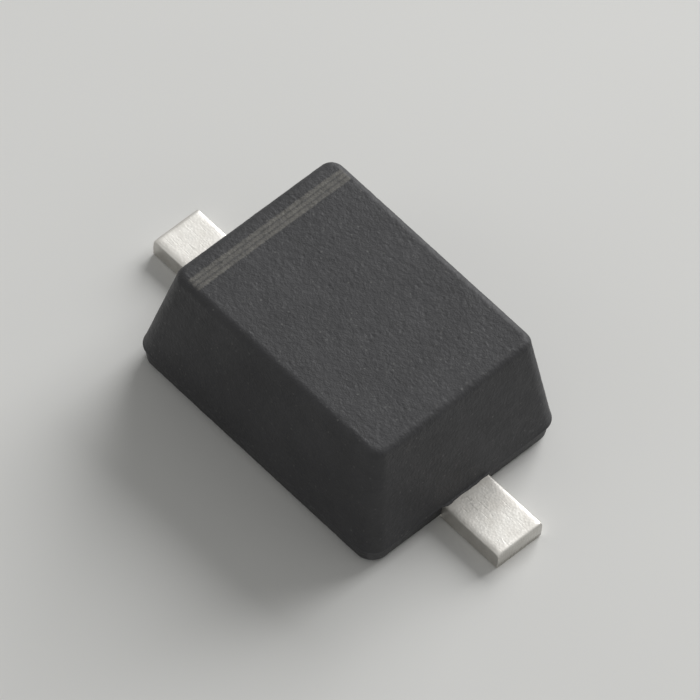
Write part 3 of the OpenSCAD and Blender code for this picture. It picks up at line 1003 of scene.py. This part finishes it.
heights = [0, FILM_T, 1.25 * FILM_T, *np.arange(STEP, crown_h - EDGE_R - STEP / 2, STEP)]
crown_rings = []
for h in (*heights, *(crown_h - EDGE_R + EDGE_R * np.sin(edge_turns))):
    inset_x, inset_y = (wall_inset(draft, crown_h, EDGE_R, h) for draft in (END_DRAFT, SIDE_DRAFT))
    corner = corner_at(TOP_CORNER_R, crown_h, EDGE_R, h)
    crown_rings.append(body_ring(parting_z + h, inset_x, inset_y, corner))
print(len(base_rings), "rings below the parting line and", len(crown_rings), "above")

# %% [markdown]
# ## Signs of moulding and marking
#
# Where the mould closes on a lead, a film of resin squeezes out over it with a ragged front. On the far wall
# the gate broke off and left a rough patch. The laser's three passes are shallow grooves across the top. All
# of these are small moves of points that the loft already has.

# %% Resin film over the leads
FILM_OUT = 0.018  # how far it runs out
FILM_PAST, FILM_FADE = 0.012, 0.02  # how far past a lead's side it starts, and the width over which it grows
END_ZONE = 0.01  # points this near the end of the body belong to its end wall
COARSE, FINE = 13, 40  # waves to a millimetre in its front


def squeeze_out(outline):
    """Moves the points of a ring out over the leads, with a ragged front."""
    for point in outline:
        x, y = point[:2]
        inside = min(1, max(0, (LEAD_W / 2 + FILM_PAST - abs(y)) / FILM_FADE))
        if abs(x) > body_high.x - END_ZONE and inside > 0:
            end = math.copysign(3, x)
            front = 0.55 + 0.45 * noise.noise((y * COARSE, end, 0))
            front += 0.15 * noise.noise((y * FINE, end, 5))
            point[0] += math.copysign(FILM_OUT * inside * max(0, front), x)


for outline in crown_rings[:2]:
    squeeze_out(outline)
body_nx, body_ny = (len(row) - 1 + 2 * CORNER_STEPS for row in (shares_x, shares_y))
points, faces = loft(base_rings + crown_rings, body_nx, body_ny)
print("body outside:", len(faces), "faces")

# %% Grooves of the band, and the broken gate
GROOVE = 0.004  # depth of the laser's grooves
GATE_OUT = 0.006  # how far the gate stands out of the wall at its upper edge
BROKEN = 0.012  # how uneven the break is
LUMPS_X, LUMPS_Z = 28, 40  # its lumps to a millimetre, along the wall and up it
TOP_ZONE = 0.012  # points this near the top belong to its face
FAR_WALL = 0.5  # points further back than this belong to the far wall

in_band = np.abs(points[:, 0] - BAND_X) < BAND_W / 2 + 1e-6
in_band &= points[:, 2] > body_high.z - TOP_ZONE
passes = np.abs(np.sin(np.pi * (points[:, 0] - band_start) / PASS_W))
points[in_band, 2] -= (0.25 + 0.75 * passes[in_band]) * GROOVE

gate_y = body_high.y - GATE_H * math.tan(SIDE_DRAFT) + GATE_OUT
by_gate = (np.abs(points[:, 0]) < GATE_W / 2) & (points[:, 1] > FAR_WALL)
by_gate &= (points[:, 2] > parting_z) & (points[:, 2] < parting_z + GATE_H)
for i in np.nonzero(by_gate)[0]:
    torn = 0.5 + 0.5 * noise.noise((points[i, 0] * LUMPS_X, points[i, 2] * LUMPS_Z, 7))
    points[i, 1] = gate_y - BROKEN * torn
print(int(in_band.sum()), "points in the band and", int(by_gate.sum()), "at the gate")

# %% Relief of the body
BODY_DEPTH, BODY_GRAIN = 0.004, 0.035  # relief of the eroded mould
body = new_piece("epoxy_body", points, faces)
in_film = (points[:, 2] > parting_z - 0.001) & (points[:, 2] < parting_z + 1.5 * FILM_T)
store(body, "give", np.where(in_film, 0.0, np.where(in_band, 0.4, 1.0)))
grow(body, roughen, Depth=BODY_DEPTH, Grain=BODY_GRAIN, Seed=3.0, Material=epoxy)

# %% [markdown]
# ## Room for what the body holds
#
# The epoxy flowed round every piece inside, so the body is hollow in exactly their shapes. The Manifold
# solver of the Boolean modifier cuts them out one after another. It is exact about closed meshes and quick
# on large ones, where an older solver would be slow. A disc cut from the underside is the mark of the pin
# that pushed the part out of its mould. Last, the adhesive gets its own hollow for the chip.

# %% Cut the hollows and the ejector mark
EJECTOR_D, EJECTOR_DEPTH = 0.50, 0.010  # the mark's diameter and depth
PIN_STEPS, PIN_OUT = 16, 0.05  # steps in each half corner of the disc, and its reach below the body


def cut(piece, *tools):
    """Takes the tools' shapes out of a piece, leaves it a plain mesh and keeps its material."""
    material = piece.data.materials[0]
    for tool in tools:
        modifier = piece.modifiers.new("cut", "BOOLEAN")
        modifier.operation, modifier.solver, modifier.object = "DIFFERENCE", "MANIFOLD", tool
    settle(piece)
    piece.data.materials.clear()
    piece.data.materials.append(material)
    piece.data.polygons.foreach_set("material_index", [0] * len(piece.data.polygons))
    print(piece.name, "after its cuts:", len(piece.data.polygons), "faces")


pin_r = EJECTOR_D / 2
pin_levels = [(z, pin_r, ROUND * pin_r) for z in (body_low.z - PIN_OUT, body_low.z + EJECTOR_DEPTH)]
mark = stack("ejector_pin", 0, pin_levels, 1, PIN_STEPS)
cut(body, cathode, anode, attach, chip, contact, wire, mark)
cut(attach, chip)
bpy.data.objects.remove(mark)

# %% Burned and broken faces of the body
ROUND_ABOUT = 0.02  # how far round a mark its material reaches, until its pattern has faded
BELOW_TOP = 0.03  # how far down the rounded edge the burned material reaches

for material in (burned, snapped):
    body.data.materials.append(material)
for face in body.data.polygons:
    x, y, z = face.center
    from_gate = abs(z - parting_z - GATE_H / 2)
    if abs(x - BAND_X) < BAND_W / 2 + ROUND_ABOUT and z > body_high.z - BELOW_TOP:
        face.material_index = 1
    if abs(x) < GATE_W / 2 + ROUND_ABOUT and y > FAR_WALL and from_gate < GATE_H / 2 + ROUND_ABOUT:
        face.material_index = 2
used = [face.material_index for face in body.data.polygons]
print(used.count(1), "burned faces and", used.count(2), "broken ones")

# %% [markdown]
# ## Bring the pieces to metres
#
# Each piece is shaded smooth but for its true edges, scaled to metres and tied to the frame: it rides on the
# part's one body and stands for its CAD node. A count of open edges and the signed volume show whether each
# mesh is closed and faces outward.

# %% Finish and tie each piece
import bmesh

PIECES = (  # piece, CAD node, material slot, and the angle in degrees from which an edge is sharp
    (body, "molded_body", "mould_compound", 40),
    (cathode, "cathode_lead", "tinned_lead_frame", 40),
    (anode, "anode_lead", "tinned_lead_frame", 40),
    (attach, "die_attach", "silver_adhesive", 35),
    (chip, "zener_die", "silicon", 30),
    (contact, "bond_pad", "aluminium_contact", 30),
    (wire, "bond_wire", "gold_wire", 50),
)


def measured(mesh):
    """(open edges, volume) of a mesh."""
    shape = bmesh.new()
    shape.from_mesh(mesh)
    found = sum(not edge.is_manifold for edge in shape.edges), shape.calc_volume(signed=True)
    shape.free()
    return found


for piece, node, slot, sharp_angle in PIECES:
    open_edges, volume = measured(piece.data)
    piece.data.shade_smooth()
    piece.data.set_sharp_from_angle(angle=math.radians(sharp_angle))
    piece.data.transform(Matrix.Scale(MM, 4))
    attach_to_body(piece, "root")
    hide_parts(node)
    triangles = sum(len(face.vertices) - 2 for face in piece.data.polygons)
    print(piece.name, triangles, "triangles,", open_edges, "open edges,", round(volume, 5), "cubic mm")

# %% [markdown]
# ## Floor
#
# The diode lies on a plain pale floor. Seen from underneath the floor steps aside, so that the feet can be
# looked at. For the same reason light passes through it below the flat undersides of the body and the feet,
# or they would be black. The opening goes no further, because the bright sides of the leads would mirror it.
# A floor that is simply left out would lose the shadow.

# %% Floor
FLOOR_HALF = 400 * MM
MOTTLE = 2.5  # size of the faint clouds in the card
card, tree, place = new_material("card_white", Roughness=0.9, IOR=1.3)
shader = tree.nodes["Principled BSDF"]
mottle = vary(tree, noise_at(tree, place, MOTTLE, Detail=2), "#e5e5e3", "#e3e3e1")
tree.links.new(mottle, shader.inputs["Base Color"])
corners = [(x * FLOOR_HALF, y * FLOOR_HALF, 0) for x, y in ((-1, -1), (1, -1), (1, 1), (-1, 1))]
floor = new_piece("floor", corners, [(0, 1, 2, 3)], card)
print("floor is", round(2 * FLOOR_HALF / MM), "mm wide")

# %% Where the floor steps aside
base_inset = MOULD_STEP + wall_inset(BASE_DRAFT, base_h, BASE_EDGE_R, base_h)
flat_of_body = (body_high.x - base_inset, body_high.y - base_inset)
flat_of_feet = (tip_x - PLATED_R, LEAD_W / 2 - PLATED_R)
x, y = split(tree, place)[:2]
open_to = tree.nodes.new("ShaderNodeNewGeometry").outputs["Backfacing"]
seen = tree.nodes.new("ShaderNodeLightPath").outputs["Is Camera Ray"]
bounced = maths(tree, "SUBTRACT", 1.0, seen)
for half_x, half_y in (flat_of_body, flat_of_feet):
    inside = bounced
    for coordinate, half in ((x, half_x), (y, half_y)):
        off = maths(tree, "LESS_THAN", maths(tree, "ABSOLUTE", coordinate), half)
        inside = maths(tree, "MULTIPLY", inside, off)
    open_to = maths(tree, "MAXIMUM", open_to, inside)
clear = tree.nodes.new("ShaderNodeBsdfTransparent").outputs[0]
shown = add(tree, "ShaderNodeMixShader", (open_to, shader.outputs[0], clear))
tree.links.new(shown, tree.nodes["Material Output"].inputs["Surface"])
print(card.name, "has", len(tree.nodes), "nodes")

# %% [markdown]
# ## Light
#
# A broad lamp stands behind the diode, about 30 degrees up. It lays the shadow toward the viewer, so that the
# near walls are darker than the top, as they are in the photograph, and it is too low for the leads to mirror
# it straight into the camera. Two weak lamps fill from the sides, and the pale surroundings light the rest.
# Together they come to a plain level, at which a colour renders about as it is written.

# %% Lamps


def softbox(name, direction, size, away, radiance):
    """A square lamp that faces the diode. size and away are in millimetres."""
    lamp = bpy.data.lights.new(name, "AREA")
    lamp.size = size * MM
    lamp.energy = radiance * math.pi * lamp.size**2
    holder = bpy.data.objects.new(name, lamp)
    toward = Vector(direction).normalized()
    turn = toward.to_track_quat("Z", "Y").to_matrix().to_4x4()
    holder.matrix_world = Matrix.Translation(toward * away * MM) @ turn
    holder.visible_camera = False
    scene.collection.objects.link(holder)
    print(name, "lamp,", size, "mm wide")


softbox("key", (-0.12, 0.92, 0.54), size=38, away=50, radiance=5.9)
softbox("right", (0.74, 0.43, 0.47), size=25, away=50, radiance=0.2)
softbox("left", (-0.38, -0.73, 0.52), size=25, away=50, radiance=0.5)

# %% Surroundings
SURROUND = 0.40  # how strongly they light the diode. They are seen and mirrored at 1
world = bpy.data.worlds.new("studio")
scene.world = world
world.use_nodes = True
tree = world.node_tree
backdrop = tree.nodes["Background"]
backdrop.inputs["Color"].default_value = paint("#dcdcda")
ray = tree.nodes.new("ShaderNodeLightPath").outputs
seen = maths(tree, "MAXIMUM", ray["Is Camera Ray"], ray["Is Glossy Ray"])
seen = maths(tree, "MAXIMUM", seen, ray["Is Transmission Ray"])
tree.links.new(remap(tree, seen, 0, 1, SURROUND, 1.0), backdrop.inputs["Strength"])
print("surroundings at", SURROUND)
